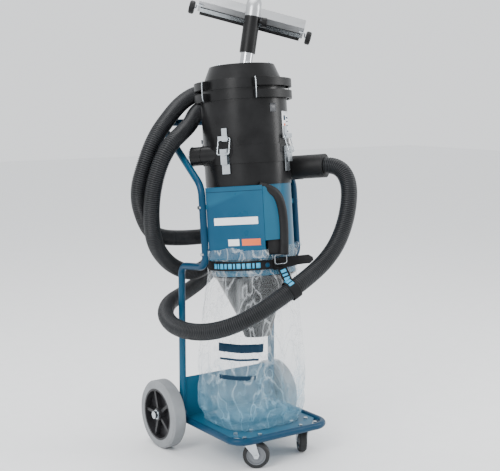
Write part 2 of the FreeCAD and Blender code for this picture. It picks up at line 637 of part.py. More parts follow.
def belt_and_straps():
    """The webbing belt over the bag's neck, its buckle and ring, and the strap that holds the hose."""
    inner = size("CycloneRadius") + 1.0 + size("BagWall") + 2.2
    belt = Part.makeCylinder(inner + 2.5, 25, Vector(0, 0, -13)).cut(
        Part.makeCylinder(inner, 25, Vector(0, 0, -13)))
    node("bag_belt", feature("BagBelt", belt, TOWER))
    spot = around(-2, inner + 2.5, 0)
    frame = Part.makeBox(34, 6, 31, Vector(-17, 0.0, -16))
    frame = frame.cut(Part.makeBox(22, 8, 20, Vector(-11, 2.5, -10.5)))
    node("belt_buckle", feature("BeltBuckle", frame, spot))


def hose_strap():
    """The printed webbing sling: a band round the hose with a tail up to the ring on the belt."""
    centre = Vector(*SLING_PLACE)
    way = Vector(*HOSE_ROUTE[8]) - Vector(*HOSE_ROUTE[6])
    way.normalize()
    inner, thick, width = size("HoseRadius") + 3, 2, 25
    start = centre - way * width / 2
    band = Part.makeCylinder(inner + thick, width, start, way)
    ring = tower_point(0, -size("CycloneRadius") - 17, -10)
    rise = ring - centre
    rise.normalize()
    side = rise.cross(way.cross(rise))
    side.normalize()
    flat = rise.cross(side)
    flat.normalize()
    matrix = FreeCAD.Matrix(side.x, flat.x, rise.x, 0, side.y, flat.y, rise.y, 0,
                            side.z, flat.z, rise.z, 0, 0, 0, 0, 1)
    tail = Part.makeBox(width, thick, (ring - centre).Length - 4, Vector(-width / 2, -thick / 2, 0))
    tail.Placement = Placement(centre, Rotation(matrix))
    strap = band.fuse(tail).cut(Part.makeCylinder(inner, 3 * width, centre - way * 1.5 * width, way))
    node("hose_strap", feature("HoseStrap", strap.removeSplitter()))


# ---------------------------------------------------------------- hose, cuffs, pipe and nozzle
HOSE_ROUTE = [
    (184, -122, 831), (203, -154, 834), (211, -196, 790), (190, -218, 712), (150, -230, 634),
    (96, -237, 580), (30, -240, 540), (-42, -238, 502), (-138, -208, 440), (-213, -135, 398),
    (-243, -15, 387), (-224, 98, 402), (-158, 190, 420), (-60, 262, 425), (50, 312, 455),
    (140, 326, 550), (195, 314, 670), (208, 310, 790), (180, 310, 900), (120, 308, 987),
    (45, 285, 1036), (-25, 240, 1034), (-100, 203, 1006), (-166, 163, 964), (-224, 133, 916),
    (-259, 130, 850), (-281, 147, 752), (-240, 172, 661), (-185, 208, 618), (-85, 245, 600),
    (50, 262, 596), (150, 262, 655), (192, 255, 760), (155, 263, 885), (85, 270, 966),
    (10, 239, 996), (-50, 200, 979), (-98, 150, 948), (-152, 104, 927), (-212, 80, 893),
    (-246, 83, 830), (-263, 95, 740), (-250, 117, 642), (-205, 160, 580), (-125, 215, 520),
    (-40, 228, 488), (12, 205, 530), (35, 188, 620), (47, 188, 690),
]
SLING_PLACE = (-20, -237, 513)


def arc_radii(points):
    """For each inner point of a route, 0.45 of its shorter run over the tangent of half its turn."""
    radii = []
    for before, here, after in zip(points, points[1:], points[2:]):
        back, ahead = before - here, after - here
        shorter = min(back.Length, ahead.Length)
        half_turn = (math.pi - back.getAngle(ahead)) / 2
        radii.append(0.45 * shorter / math.tan(half_turn))
    return radii


def hose():
    points = [Vector(*point) for point in HOSE_ROUTE]
    radii = arc_radii(points)
    tube = swept(points, radii, size("HoseRadius"))
    _, _, long = rounded_path(points, radii)
    print("hose length", round(long), "radii", [round(r) for r in radii])
    node("suction_hose", feature("SuctionHose", tube))
    # the inlet cuff grips the stub and the hose's first end meets its mouth
    first, second = points[0], points[1]
    turn = math.radians(size("PortAngle"))
    ahead = LEAN.multVec(Vector(math.sin(turn), -math.cos(turn), 0))
    stub_r, cuff_r, hose_r = size("InletStubRadius"), size("CuffRadius"), size("HoseRadius")
    root = first - ahead * 118
    cuff = Part.makeCylinder(cuff_r, 118, root, ahead)
    cuff = cuff.cut(Part.makeCylinder(stub_r, 48, root, ahead))
    cuff = cuff.cut(Part.makeCylinder(stub_r - 3, 118, root, ahead))
    node("inlet_cuff", feature("InletCuff", cuff))


def pipe_line(along):
    """A point on the suction pipe's axis, from its lower end."""
    return PIPE_FOOT + PIPE_WAY * along


PIPE_FOOT = Vector(47, 188, 690)
PIPE_WAY = Vector(78, 0, 457)
PIPE_WAY.normalize()
PIPE_LENGTH = 545


def suction_pipe(bar_z):
    radius, wall = size("PipeRadius"), size("PipeWall")
    spot = Placement(pipe_line(20), Rotation(Vector(0, 0, 1), PIPE_WAY))
    outer = cylinder("PipeOuter", "$PipeRadius", PIPE_LENGTH - 20, spot)
    inner = cylinder("PipeInner", "$PipeRadius - $PipeWall", PIPE_LENGTH - 20, spot)
    node("suction_pipe", cut("SuctionPipe", outer, inner))
    cuff = Part.makeCylinder(27, 90, pipe_line(0), PIPE_WAY)
    cuff = cuff.cut(Part.makeCylinder(radius, 70, pipe_line(20), PIPE_WAY))
    cuff = cuff.cut(Part.makeCylinder(radius - wall, 90, pipe_line(0), PIPE_WAY))
    node("pipe_cuff", feature("PipeCuff", cuff))
    # the holder: a collar round the pipe, bolted to the handle bar, with a hose hook behind
    along = (bar_z - PIPE_FOOT.z) / PIPE_WAY.z
    centre = pipe_line(along)
    bar_y = size("HandleBarY")
    collar = Part.makeCylinder(radius + 6, 40, centre - PIPE_WAY * 20, PIPE_WAY)
    block = Part.makeBox(44, bar_y + 14 - 188, 34, Vector(centre.x - 22, 188, bar_z - 17))
    solid = collar.fuse(block)
    solid = solid.cut(Part.makeCylinder(radius + 0.1, 80, centre - PIPE_WAY * 40, PIPE_WAY))
    solid = solid.cut(Part.makeCylinder(size("FrameTubeRadius"), 90, Vector(centre.x - 45, bar_y, bar_z), Vector(1, 0, 0)))
    hook_x = centre.x
    arm = swept([Vector(hook_x, bar_y + 6, bar_z - 8), Vector(hook_x, bar_y + 60, bar_z - 40),
                 Vector(hook_x, 345, bar_z - 40), Vector(hook_x, 352, bar_z)], [20, 8], 5)
    solid = solid.fuse(arm).cut(Part.makeCylinder(
        size("FrameTubeRadius"), 90, Vector(centre.x - 45, bar_y, bar_z), Vector(1, 0, 0)))
    node("pipe_holder", feature("PipeHolder", solid.removeSplitter()))


NOZZLE_LENGTH_WAY = Vector(0.793, -0.553, -0.254)
NOZZLE_LENGTH_WAY.normalize()
NOZZLE_TOP_TILT = 27.0  # how far its top leans forward from upright, as parked


def nozzle_placement(front_edge):
    """Axes of the parked floor nozzle: X along its length, Y to its back, Z out of its top face."""
    forward = Vector(-0.572, -0.820, 0)
    upright = NOZZLE_LENGTH_WAY.cross(forward * -1)
    upright.normalize()
    facing = upright.cross(NOZZLE_LENGTH_WAY) * -1
    tilt = math.radians(NOZZLE_TOP_TILT)
    top = upright * math.cos(tilt) + facing * math.sin(tilt)
    if top.z < 0:
        raise RuntimeError("the nozzle lies upside down")
    back = top.cross(NOZZLE_LENGTH_WAY)
    matrix = FreeCAD.Matrix(NOZZLE_LENGTH_WAY.x, back.x, top.x, 0, NOZZLE_LENGTH_WAY.y, back.y, top.y, 0,
                            NOZZLE_LENGTH_WAY.z, back.z, top.z, 0, 0, 0, 0, 1)
    return Placement(front_edge, Rotation(matrix))


def floor_nozzle():
    pipe_r, bore = size("PipeRadius"), size("PipeRadius") - size("PipeWall")
    grip_start = PIPE_LENGTH - 74
    coupling = Part.makeCylinder(24, 84, pipe_line(grip_start), PIPE_WAY)
    coupling = coupling.cut(Part.makeCylinder(pipe_r, 74, pipe_line(grip_start), PIPE_WAY))
    coupling = coupling.cut(Part.makeCylinder(bore, 84, pipe_line(grip_start), PIPE_WAY))
    node("pipe_coupling", feature("PipeCoupling", coupling))
    # the swivel collar, black, and the aluminium neck that bends over onto the head's top
    collar_base = pipe_line(PIPE_LENGTH + 10.3)
    collar = Part.makeCylinder(23, 26, collar_base, PIPE_WAY).cut(
        Part.makeCylinder(17.5, 26, collar_base, PIPE_WAY))
    node("nozzle_elbow", feature("NozzleElbow", collar))
    neck_base = pipe_line(PIPE_LENGTH + 36.3)
    away = Vector(0.572, 0.820, 0)
    head_spot = nozzle_placement(neck_base + PIPE_WAY * 22 + away * 54)
    down = head_spot.Rotation.multVec(Vector(0, 0, -1))
    crown = neck_base + PIPE_WAY * 40
    fall = crown + away * 52
    neck = swept([neck_base, crown, fall, fall + down * 34], [22, 22], 23)
    half, deep, tall = size("NozzleLength") / 2, size("NozzleDepth"), size("NozzleHeight")
    channel = Part.makeBox(2 * half, deep, tall, Vector(-half, -deep / 2, -tall))
    channel = channel.cut(Part.makeBox(2 * half - 8, deep - 8, tall, Vector(-half + 4, -deep / 2 + 4, -tall - 4)))
    channel.Placement = head_spot
    head = channel.fuse(neck).removeSplitter()
    hollow = Part.makeCylinder(17.5, 24, neck_base - PIPE_WAY * 2, PIPE_WAY)
    node("nozzle_head", feature("NozzleHead", head.cut(hollow)))
    # rubber lips and their steel strips along both long edges, and the bent wires of the wheels
    lips, steel = [], []
    for y, strip_y in ((-deep / 2 - 2.6, -deep / 2 - 4.2), (deep / 2 - 0.4, deep / 2 + 2.6)):
        lips.append(Part.makeBox(2 * half - 16, 3, 24, Vector(-half + 8, y, -tall - 9)))
        steel.append(Part.makeBox(2 * half - 16, 1.6, 12, Vector(-half + 8, strip_y, -tall + 2)))
    for sign in (-1, 1):
        wire_path = [Vector(sign * (half - 14), -deep / 2 - 6.2, -12), Vector(sign * (half + 5), -deep / 2 - 6.2, -12),
                     Vector(sign * (half + 5), -deep / 2 - 6.2, -24), Vector(sign * (half + 27.2), -deep / 2 - 6.2, -24)]
        steel.append(swept(wire_path, [4, 4], 2))
    for name, solids in (("nozzle_lips", lips), ("nozzle_steelwork", steel)):
        group = Part.makeCompound(solids)
        group.Placement = head_spot
        node(name, feature(name.title().replace("_", ""), group))
    rolling = Rotation(Vector(0, 1, 0), 90)
    for side, sign in (("left", -1), ("right", 1)):
        start = Vector(half + 9.6 if sign > 0 else -half - 25.6, -deep / 2 - 6.2, -24)
        spot = head_spot * Placement(start, rolling)
        profile = [("2.1", "0"), ("$NozzleWheelRadius - 3", "0"), ("$NozzleWheelRadius", "3"),
                   ("$NozzleWheelRadius", "13"), ("$NozzleWheelRadius - 3", "16"), ("2.1", "16")]
        node(f"nozzle_wheel_{side}", turned(f"NozzleWheel{side.title()}", profile, spot))
    knob_way = NOZZLE_LENGTH_WAY - PIPE_WAY * NOZZLE_LENGTH_WAY.dot(PIPE_WAY)
    knob_way.normalize()
    root = pipe_line(PIPE_LENGTH + 23) + knob_way * 23.5
    knob = Part.makeCylinder(5, 8, root, knob_way).fuse(Part.makeCylinder(15, 14, root + knob_way * 8, knob_way))
    node("nozzle_knob", feature("NozzleKnob", knob.removeSplitter()))
    print("nozzle axis", knob_way, root, "wheels", [
        tuple(round(c, 2) for c in head_spot.multVec(Vector(s * (half + 17.6), -deep / 2 - 6.2, -24))) for s in (-1, 1)])


# ---------------------------------------------------------------- build, check, export
def main():
    bar_z = frame_tubes()
    base_plates()
    cap_screws()
    rear_wheels()
    castor_plates()
    castor("left", -1)
    castor("right", 1)
    tower_shells()
    port_sections()
    head_details()
    latches()
    front_panel()
    bag()
    belt_and_straps()
    hose_strap()
    hose()
    suction_pipe(bar_z)
    floor_nozzle()
    doc.recompute()
    for made in doc.Objects:
        if {"Invalid", "Error"} & set(made.State):
            raise RuntimeError(f"{made.Label}: {made.State}")
    for name, made in NODES.items():
        if made.Shape.isNull() or not made.Shape.isValid():
            raise RuntimeError(f"{name} has no valid shape")
    for name, made in NODES.items():
        shape = made.Shape.copy()
        shape.translate(-MIDDLE)
        shape.exportStep(f"parts/{name}.step")
    print(len(NODES), "nodes")


main()
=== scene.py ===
"""Dust collector: materials, hose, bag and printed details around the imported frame."""
import json
import math
import bpy
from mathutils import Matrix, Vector, noise


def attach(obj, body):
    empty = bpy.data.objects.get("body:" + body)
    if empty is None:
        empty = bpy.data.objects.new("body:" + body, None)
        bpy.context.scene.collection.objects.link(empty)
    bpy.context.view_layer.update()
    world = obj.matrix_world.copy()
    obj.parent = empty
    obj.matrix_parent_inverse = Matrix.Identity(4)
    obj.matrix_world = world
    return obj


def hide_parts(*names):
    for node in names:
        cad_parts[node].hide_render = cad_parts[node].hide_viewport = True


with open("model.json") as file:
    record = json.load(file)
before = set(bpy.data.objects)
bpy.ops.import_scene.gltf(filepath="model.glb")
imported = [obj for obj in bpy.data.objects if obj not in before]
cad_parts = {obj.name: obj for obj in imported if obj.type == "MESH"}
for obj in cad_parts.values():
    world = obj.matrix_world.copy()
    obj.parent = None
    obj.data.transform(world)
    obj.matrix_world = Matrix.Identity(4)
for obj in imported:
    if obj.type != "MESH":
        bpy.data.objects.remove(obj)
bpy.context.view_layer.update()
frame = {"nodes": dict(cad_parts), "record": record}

NODES = frame["nodes"]
BODY = "trolley"

# ---------------------------------------------------------------- the leaning tower's own frame
LEAN = math.radians(6)
MIDDLE = Vector((0.04962, 0.08819, 0))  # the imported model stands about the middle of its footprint
TOWER_FOOT = Vector((0, -0.025, 0.557)) - MIDDLE
TOWER_UP = Vector((0, math.sin(LEAN), math.cos(LEAN)))
TOWER_BACK = Vector((0, math.cos(LEAN), -math.sin(LEAN)))
DRUM_RADIUS = 0.120
PANEL_TURN = -54


def on_tower(azimuth, radius, height):
    """A point beside the tower: azimuth in degrees from the front, towards +X."""
    turn = math.radians(azimuth)
    return (TOWER_FOOT + Vector((1, 0, 0)) * (radius * math.sin(turn))
            - TOWER_BACK * (radius * math.cos(turn)) + TOWER_UP * height)


def outward(azimuth):
    """The level direction away from the tower's middle at an azimuth."""
    turn = math.radians(azimuth)
    return Vector((math.sin(turn), 0, 0)) - TOWER_BACK * math.cos(turn)


# ---------------------------------------------------------------- mesh helpers
def piece(name, vertices, faces, material, slot, smooth=True):
    """A mesh that rides on the trolley, with one material; its slot argument is not used."""
    mesh = bpy.data.meshes.new(name)
    mesh.from_pydata([tuple(v) for v in vertices], [], faces)
    mesh.validate()
    mesh.materials.append(material)
    for polygon in mesh.polygons:
        polygon.use_smooth = smooth
    made = bpy.data.objects.new(name, mesh)
    bpy.context.scene.collection.objects.link(made)
    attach(made, BODY)
    return made


def grid(rows, closed):
    """Faces between rings of equal length."""
    count = len(rows[0])
    vertices = [point for row in rows for point in row]
    faces = []
    for i in range(len(rows) - 1):
        for j in range(count if closed else count - 1):
            k = (j + 1) % count
            faces.append((i * count + j, i * count + k, (i + 1) * count + k, (i + 1) * count + j))
    return vertices, faces


def route_line(points, fineness=24):
    """Points read from the NURBS spline whose control points are given."""
    curve = bpy.data.curves.new("RouteLine", "CURVE")
    curve.dimensions = "3D"
    curve.resolution_u = fineness
    spline = curve.splines.new("NURBS")
    spline.points.add(len(points) - 1)
    for target, point in zip(spline.points, points):
        target.co = (*point, 1.0)
    spline.order_u = 3
    spline.use_endpoint_u = True
    spline.resolution_u = fineness
    holder = bpy.data.objects.new("RouteLine", curve)
    mesh = bpy.data.meshes.new_from_object(holder)
    line = [v.co.copy() for v in mesh.vertices]
    bpy.data.objects.remove(holder)
    bpy.data.curves.remove(curve)
    bpy.data.meshes.remove(mesh)
    return line


def along_line(line, distances):
    """Places and directions at growing distances along a line."""
    found, walked, at = [], 0.0, 0
    for distance in distances:
        while at < len(line) - 2 and walked + (line[at + 1] - line[at]).length < distance:
            walked += (line[at + 1] - line[at]).length
            at += 1
        step = line[at + 1] - line[at]
        share = min(1.0, (distance - walked) / step.length)
        found.append((line[at] + step * share, step.normalized()))
    return found


def line_length(line):
    """Length of a line of points."""
    return sum((b - a).length for a, b in zip(line, line[1:]))


def tube(line, profile, sides, capped=True):
    """A tube round a line; profile holds (distance along it, radius)."""
    stations = along_line(line, [distance for distance, _ in profile])
    side = stations[0][1].orthogonal().normalized()
    rows, last = [], stations[0][1]
    for (place, way), (_, radius) in zip(stations, profile):
        side = last.rotation_difference(way) @ side
        side = (side - way * side.dot(way)).normalized()
        last = way
        other = way.cross(side)
        rows.append([place + (side * math.cos(2 * math.pi * k / sides)
                              + other * math.sin(2 * math.pi * k / sides)) * radius
                     for k in range(sides)])
    vertices, faces = grid(rows, True)
    if capped:
        faces.append(tuple(reversed(range(sides))))
        faces.append(tuple(range(len(vertices) - sides, len(vertices))))
    return vertices, faces


def thicken(made, thickness, offset):
    """Give a surface a thickness: offset -1 puts it behind the faces, 0 to both sides."""
    solid = made.modifiers.new("Thickness", "SOLIDIFY")
    solid.thickness = thickness
    solid.offset = offset
    return made


# ---------------------------------------------------------------- materials
def add_node(tree, kind, **inputs):
    """A shader node with its unlinked inputs set; underscores in their names stand for spaces."""
    made = tree.nodes.new(kind)
    for name, value in inputs.items():
        made.inputs[name.replace("_", " ")].default_value = value
    return made


def set_ramp(ramp, low, low_colour, high, high_colour):
    for element, position, colour in zip(ramp.color_ramp.elements, (low, high), (low_colour, high_colour)):
        element.position = position
        element.color = (*colour, 1)


SLOW_NOISE_SCALE = 18.0
BUMP_HEIGHT = 0.0004
SHEEN_EDGE_FROM, SHEEN_EDGE_TO, SHEEN_EDGE_SHARE = 0.53, 0.62, 0.55


def material(name, colour, roughness, metallic=0.0, grain=800.0, bump=0.05, variation=0.06,
             rough_swing=0.08, edge_highlight=None, coat=0.0, specular=0.5, stretch=(1, 1, 1)):
    """A surface with fine grain, slow colour variation and, where given, a paler edge that is a painted
    highlight.
    """
    made = bpy.data.materials.new(name)
    made.use_nodes = True
    tree = made.node_tree
    link = tree.links.new
    shader = tree.nodes["Principled BSDF"]
    shader.inputs["Metallic"].default_value = metallic
    shader.inputs["Coat Weight"].default_value = coat
    shader.inputs["Specular IOR Level"].default_value = specular
    place = add_node(tree, "ShaderNodeTexCoord")
    scale = add_node(tree, "ShaderNodeMapping", Scale=stretch)
    link(place.outputs["Object"], scale.inputs["Vector"])
    slow = add_node(tree, "ShaderNodeTexNoise", Scale=SLOW_NOISE_SCALE, Detail=5.0)
    link(scale.outputs[0], slow.inputs["Vector"])
    ramp = add_node(tree, "ShaderNodeValToRGB")
    dark = [max(0.0, c * (1 - variation)) for c in colour]
    pale = [min(1.0, c * (1 + variation) + 0.004) for c in colour]
    set_ramp(ramp, 0.3, dark, 0.7, pale)
    link(slow.outputs["Fac"], ramp.inputs["Fac"])
    colour_out = ramp.outputs["Color"]
    # paler colour on sharp edges: a painted highlight where the edges catch the light
    if edge_highlight:
        geometry = add_node(tree, "ShaderNodeNewGeometry")
        edge = add_node(tree, "ShaderNodeMapRange", From_Min=SHEEN_EDGE_FROM, From_Max=SHEEN_EDGE_TO, To_Max=SHEEN_EDGE_SHARE)
        link(geometry.outputs["Pointiness"], edge.inputs["Value"])
        mix = tree.nodes.new("ShaderNodeMix")
        mix.data_type = "RGBA"
        mix.inputs["B"].default_value = (*edge_highlight, 1)
        link(edge.outputs[0], mix.inputs["Factor"])
        link(colour_out, mix.inputs["A"])
        colour_out = mix.outputs["Result"]
    link(colour_out, shader.inputs["Base Color"])
    rough = add_node(tree, "ShaderNodeMapRange", To_Min=max(0.02, roughness - rough_swing),
                     To_Max=roughness + rough_swing)
    link(slow.outputs["Fac"], rough.inputs["Value"])
    link(rough.outputs[0], shader.inputs["Roughness"])
    fine = add_node(tree, "ShaderNodeTexNoise", Scale=grain, Detail=3.0)
    link(scale.outputs[0], fine.inputs["Vector"])
    lift = add_node(tree, "ShaderNodeBump", Strength=bump, Distance=BUMP_HEIGHT)
    link(fine.outputs["Fac"], lift.inputs["Height"])
    link(lift.outputs["Normal"], shader.inputs["Normal"])
    return made


def webbing_material():
    """Black woven webbing with fine diagonal ribs."""
    made = material("Webbing", (0.006, 0.006, 0.007), 0.75, grain=1500, bump=0.3,
                    variation=0.25, specular=0.2)
    tree = made.node_tree
    wave = add_node(tree, "ShaderNodeTexWave", Scale=260.0, Distortion=0.4)
    wave.bands_direction = "DIAGONAL"
    place = next(n for n in tree.nodes if n.bl_idname == "ShaderNodeMapping")
    tree.links.new(place.outputs[0], wave.inputs["Vector"])
    lift = next(n for n in tree.nodes if n.bl_idname == "ShaderNodeBump")
    tree.links.new(wave.outputs["Fac"], lift.inputs["Height"])
    return made


FILM_REFLECTED_BLUE, FILM_CLEAR = (0.20, 0.42, 0.56), (0.84, 0.89, 0.92)
FILM_REFLECTED_BLUE_BELOW, FILM_CLEAR_ABOVE = 0.16, 0.33


def film_material(name, clear, hazy, creases):
    """Clear film: mostly see-through, whiter and less clear along its creases, and bluer low down, a painted
    reflection of the blue parts behind it.
    """
    made = bpy.data.materials.new(name)
    made.use_nodes = True
    tree = made.node_tree
    link = tree.links.new
    shader = tree.nodes["Principled BSDF"]
    shader.inputs["Roughness"].default_value = 0.14
    shader.inputs["Specular IOR Level"].default_value = 0.75
    place = add_node(tree, "ShaderNodeTexCoord")
    split = add_node(tree, "ShaderNodeSeparateXYZ")
    link(place.outputs["Object"], split.inputs[0])
    # bluer low down: painted reflection of the blue base and rear plate
    painted_reflection = add_node(tree, "ShaderNodeValToRGB")
    set_ramp(painted_reflection, FILM_REFLECTED_BLUE_BELOW, FILM_REFLECTED_BLUE, FILM_CLEAR_ABOVE, FILM_CLEAR)
    link(split.outputs["Z"], painted_reflection.inputs["Fac"])
    link(painted_reflection.outputs["Color"], shader.inputs["Base Color"])
    # a net of creases, its lines bent by slow noise
    warp = add_node(tree, "ShaderNodeMapping", Scale=(1.0, 1.0, 0.55))
    link(place.outputs["Object"], warp.inputs["Vector"])
    crumple = tree.nodes.new("ShaderNodeTexVoronoi")
    crumple.feature = "DISTANCE_TO_EDGE"
    crumple.inputs["Scale"].default_value = creases
    shift = add_node(tree, "ShaderNodeTexNoise", Scale=14.0, Detail=2.2)
    link(warp.outputs[0], shift.inputs["Vector"])
    blend = tree.nodes.new("ShaderNodeMix")
    blend.data_type = "VECTOR"
    blend.inputs["Factor"].default_value = 0.16
    link(warp.outputs[0], blend.inputs["A"])
    link(shift.outputs["Color"], blend.inputs["B"])
    link(blend.outputs["Result"], crumple.inputs["Vector"])
    haze = add_node(tree, "ShaderNodeMapRange", From_Max=0.065, To_Min=hazy, To_Max=clear)
    link(crumple.outputs["Distance"], haze.inputs["Value"])
    # soft clouds, long upright pleats and a haze near the floor make it less clear; near the floor this haze
    # also shows the painted blue reflection
    cloud = add_node(tree, "ShaderNodeMapRange", From_Min=0.40, From_Max=0.75, To_Max=0.10)
    link(shift.outputs["Fac"], cloud.inputs["Value"])
    drape = add_node(tree, "ShaderNodeMapping", Scale=(30.0, 30.0, 2.6))
    link(place.outputs["Object"], drape.inputs["Vector"])
    pleats = add_node(tree, "ShaderNodeTexNoise", Scale=1.0, Detail=2.0)
    link(drape.outputs[0], pleats.inputs["Vector"])
    streak = add_node(tree, "ShaderNodeMapRange", From_Min=0.58, From_Max=0.72, To_Max=0.18)
    link(pleats.outputs["Fac"], streak.inputs["Value"])
    low_haze_and_reflection = add_node(tree, "ShaderNodeMapRange", From_Min=0.28, From_Max=0.18, To_Max=0.16)
    link(split.outputs["Z"], low_haze_and_reflection.inputs["Value"])
    total = haze.outputs[0]
    for more in (cloud, streak, low_haze_and_reflection):
        add = tree.nodes.new("ShaderNodeMath")
        link(total, add.inputs[0])
        link(more.outputs[0], add.inputs[1])
        total = add.outputs[0]
    add.use_clamp = True
    link(total, shader.inputs["Alpha"])
    lift = add_node(tree, "ShaderNodeBump", Strength=0.6, Distance=0.003)
    link(crumple.outputs["Distance"], lift.inputs["Height"])
    link(lift.outputs["Normal"], shader.inputs["Normal"])
    return made


# pale blue painted highlight for the sharp edges of the blue frame and casing
PAINTED_EDGE_HIGHLIGHT = (0.02, 0.14, 0.23)
MATERIALS = {
    "frame_blue": material("FrameBlue", (0.0003, 0.036, 0.080), 0.36, coat=0.06, grain=300, bump=0.10,
                           specular=0.18, edge_highlight=PAINTED_EDGE_HIGHLIGHT),
    "casing_blue": material("CasingBlue", (0.0003, 0.043, 0.096), 0.30, coat=0.08, grain=260, bump=0.06,
                            specular=0.18, edge_highlight=PAINTED_EDGE_HIGHLIGHT),
    "head_black": material("HeadBlack", (0.0050, 0.0050, 0.0055), 0.30, grain=900, bump=0.12,
                           variation=0.3, specular=0.22),
    # the hose's paler rib crests are a painted highlight
    "hose_black": material("HoseBlack", (0.0050, 0.0055, 0.0070), 0.36, grain=700, bump=0.1,
                           variation=0.3, specular=0.25, edge_highlight=(0.06, 0.065, 0.07)),
    "grip_black": material("GripBlack", (0.0045, 0.0045, 0.005), 0.42, grain=1100, bump=0.2,
                           variation=0.3, specular=0.22),
    "tyre_grey": material("TyreGrey", (0.23, 0.24, 0.25), 0.75, grain=500, bump=0.25, variation=0.12,
                          specular=0.3),
    "hub_grey": material("HubGrey", (0.016, 0.016, 0.018), 0.42, grain=900, bump=0.15, variation=0.25,
                         specular=0.3),
    "zinc": material("Zinc", (0.52, 0.56, 0.59), 0.27, metallic=1.0, grain=220, bump=0.10, variation=0.2),
    "chrome_pipe": material("PipeChrome", (0.50, 0.51, 0.53), 0.14, metallic=1.0, grain=160, bump=0.03,
                            stretch=(1, 1, 0.1)),
    "aluminium": material("Aluminium", (0.46, 0.47, 0.48), 0.34, metallic=0.9, grain=500, bump=0.08,
                          stretch=(0.15, 1, 1)),
    "webbing": webbing_material(),
    "rubber_black": material("RubberBlack", (0.006, 0.006, 0.0065), 0.5, grain=700, bump=0.2,
                             variation=0.3, specular=0.25),
    "castor_tread": material("CastorTread", (0.017, 0.018, 0.019), 0.5, grain=700, bump=0.2,
                             variation=0.2, specular=0.3),
    "castor_hub": material("CastorHub", (0.16, 0.17, 0.185), 0.42, grain=700, bump=0.12),
    "filter_paper": material("FilterPaper", (0.62, 0.60, 0.52), 0.9, grain=400, bump=0.3),
    "motor_steel": material("MotorSteel", (0.42, 0.42, 0.44), 0.4, metallic=0.9, grain=300, bump=0.1),
    "bag_film": film_material("BagFilm", 0.05, 0.34, 17.0),
}
PRINT_WHITE = material("PrintWhite", (0.80, 0.81, 0.82), 0.35, grain=500, bump=0.03)
PRINT_ORANGE = material("PrintOrange", (0.72, 0.13, 0.035), 0.35, grain=500, bump=0.03)
PRINT_SKY = material("PrintSky", (0.03, 0.36, 0.62), 0.6, grain=1400, bump=0.25)
# navy for printed marks, also used as painted shade along the panel's crease
NAVY_PRINT_AND_SHADE = material("NavyPrintAndShade", (0.001, 0.022, 0.048), 0.45, grain=500, bump=0.03,
                      specular=0.15)
LABEL_GREY = material("LabelGrey", (0.07, 0.072, 0.078), 0.4, grain=500, bump=0.05)

for entry in frame["record"]["subparts"]:
    holder = NODES.get(entry["node"])
    if holder is not None and entry["material_slot"] in MATERIALS:
        for slot in holder.material_slots:
            slot.material = MATERIALS[entry["material_slot"]]

# ---------------------------------------------------------------- camera, light and floor
camera_data = bpy.data.cameras.new("Camera")
camera_data.lens = 74.95
camera_data.sensor_width = 36.0
camera = bpy.data.objects.new("Camera", camera_data)
camera.location = Vector((-1.6804, -2.4358, 1.0462)) - MIDDLE
camera.rotation_euler = (math.radians(82.0), 0.0, math.radians(-34.7))
bpy.context.scene.collection.objects.link(camera)
bpy.context.scene.camera = camera

world = bpy.data.worlds.new("Studio")
world.use_nodes = True
world.node_tree.nodes["Background"].inputs["Color"].default_value = (0.96, 0.98, 1.0, 1)
world.node_tree.nodes["Background"].inputs["Strength"].default_value = 1.35
bpy.context.scene.world = world


def area_light(name, location, target, width, height, power):
    data = bpy.data.lights.new(name, "AREA")
    data.shape = "RECTANGLE"
    data.size, data.size_y, data.energy = width, height, power
    made = bpy.data.objects.new(name, data)
    made.location = location
    made.rotation_euler = (Vector(target) - Vector(location)).to_track_quat("-Z", "Y").to_euler()
    bpy.context.scene.collection.objects.link(made)


area_light("KeyLight", (-2.6, -1.2, 2.4), (0, 0, 0.7), 1.2, 1.8, 75)
area_light("SideLight", (2.4, -1.6, 1.8), (0, 0, 0.6), 0.8, 1.8, 45)
area_light("TopLight", (0.0, 0.4, 3.2), (0, 0, 0.5), 2.0, 2.0, 45)

FLOOR_HALF = 12.0
floor_mesh = bpy.data.meshes.new("Floor")
floor_mesh.from_pydata([(x * FLOOR_HALF, y * FLOOR_HALF, 0) for x, y in ((-1, -1), (1, -1), (1, 1), (-1, 1))],
                       [], [(0, 1, 2, 3)])
floor_mesh.materials.append(material("FloorPale", (0.90, 0.905, 0.91), 0.7, grain=60, bump=0.02,
                                     variation=0.01))
floor = bpy.data.objects.new("Floor", floor_mesh)
bpy.context.scene.collection.objects.link(floor)

